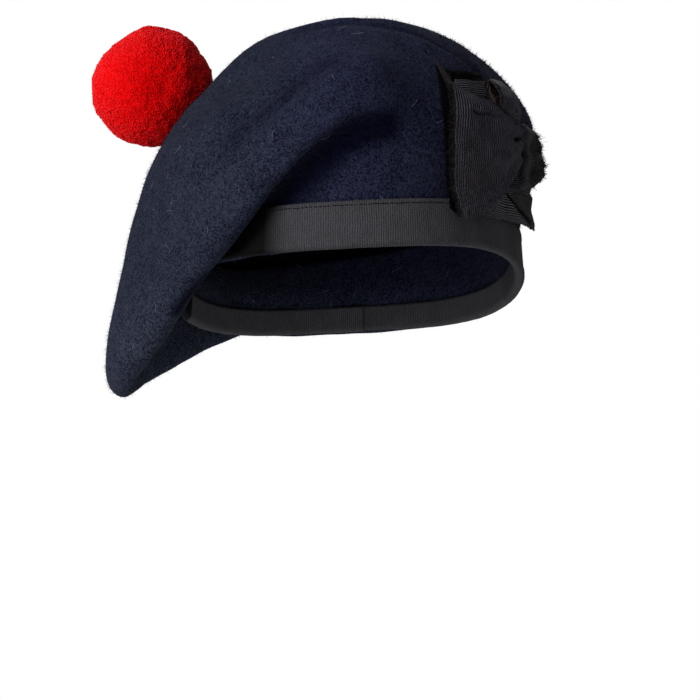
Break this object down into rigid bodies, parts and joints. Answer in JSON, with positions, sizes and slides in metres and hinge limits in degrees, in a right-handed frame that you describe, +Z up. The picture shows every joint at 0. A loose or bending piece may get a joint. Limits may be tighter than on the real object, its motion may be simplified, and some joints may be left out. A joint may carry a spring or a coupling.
{
  "type": "balmoral bonnet",
  "caption": "Soft felt bonnet drawn down over one side of the head, with a grosgrain ribbon at the opening, a gathered ribbon cockade and a wool pompom on the crown.",
  "frame": {"origin": "middle of the head opening, at the lower edge of the ribbon", "axes": "+Z up with the head upright, -Y towards the forehead, +X towards the wearer's left"},
  "size_m": [0.2183, 0.227, 0.1789],
  "materials": {
    "felt": "fulled wool, dark blue, matt with a soft nap",
    "ribbon": "black grosgrain with upright ribs",
    "cockade": "black grosgrain, gathered, with cut ends",
    "wool": "cut wool pile, red"
  },
  "bodies": {
    "root": {"crown": "felt", "headband_ribbon": "ribbon", "cockade_upright_ribbon": "cockade", "cockade_cross_ribbon": "cockade", "cockade_loop": "cockade", "pompom": "wool"}
  },
  "joints": []
}
